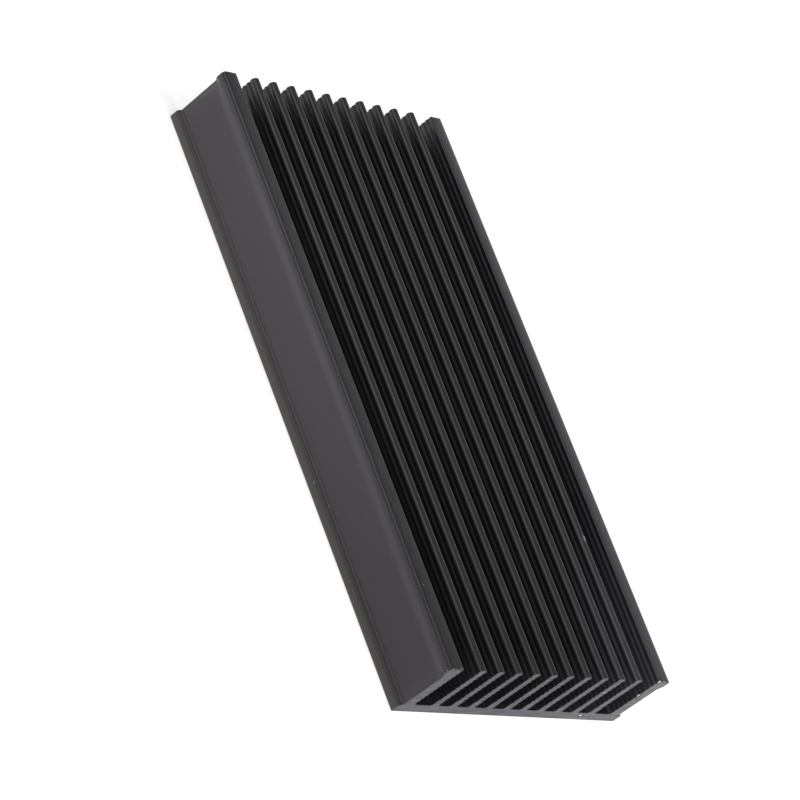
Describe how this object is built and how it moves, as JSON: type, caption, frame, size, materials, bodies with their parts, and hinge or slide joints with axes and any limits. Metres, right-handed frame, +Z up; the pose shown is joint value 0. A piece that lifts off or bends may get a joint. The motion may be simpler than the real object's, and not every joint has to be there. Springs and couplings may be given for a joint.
{
  "type": "heat sink",
  "caption": "Black anodised extruded heat sink: flat base plate, upright rippled fins along its length and two thicker, recessed side walls with lips; cools parts fixed to its underside.",
  "frame": {"origin": "middle of the base plate's underside", "axes": "+Z up from the base plate towards the fin tips, +Y along the fins and the extrusion, +X across the fins"},
  "size_m": [0.074, 0.15, 0.0184],
  "materials": {
    "black_anodised": "matte black anodised, with sawn ends a little lighter"
  },
  "bodies": {
    "root": {"heat_sink": "black_anodised"}
  },
  "joints": []
}
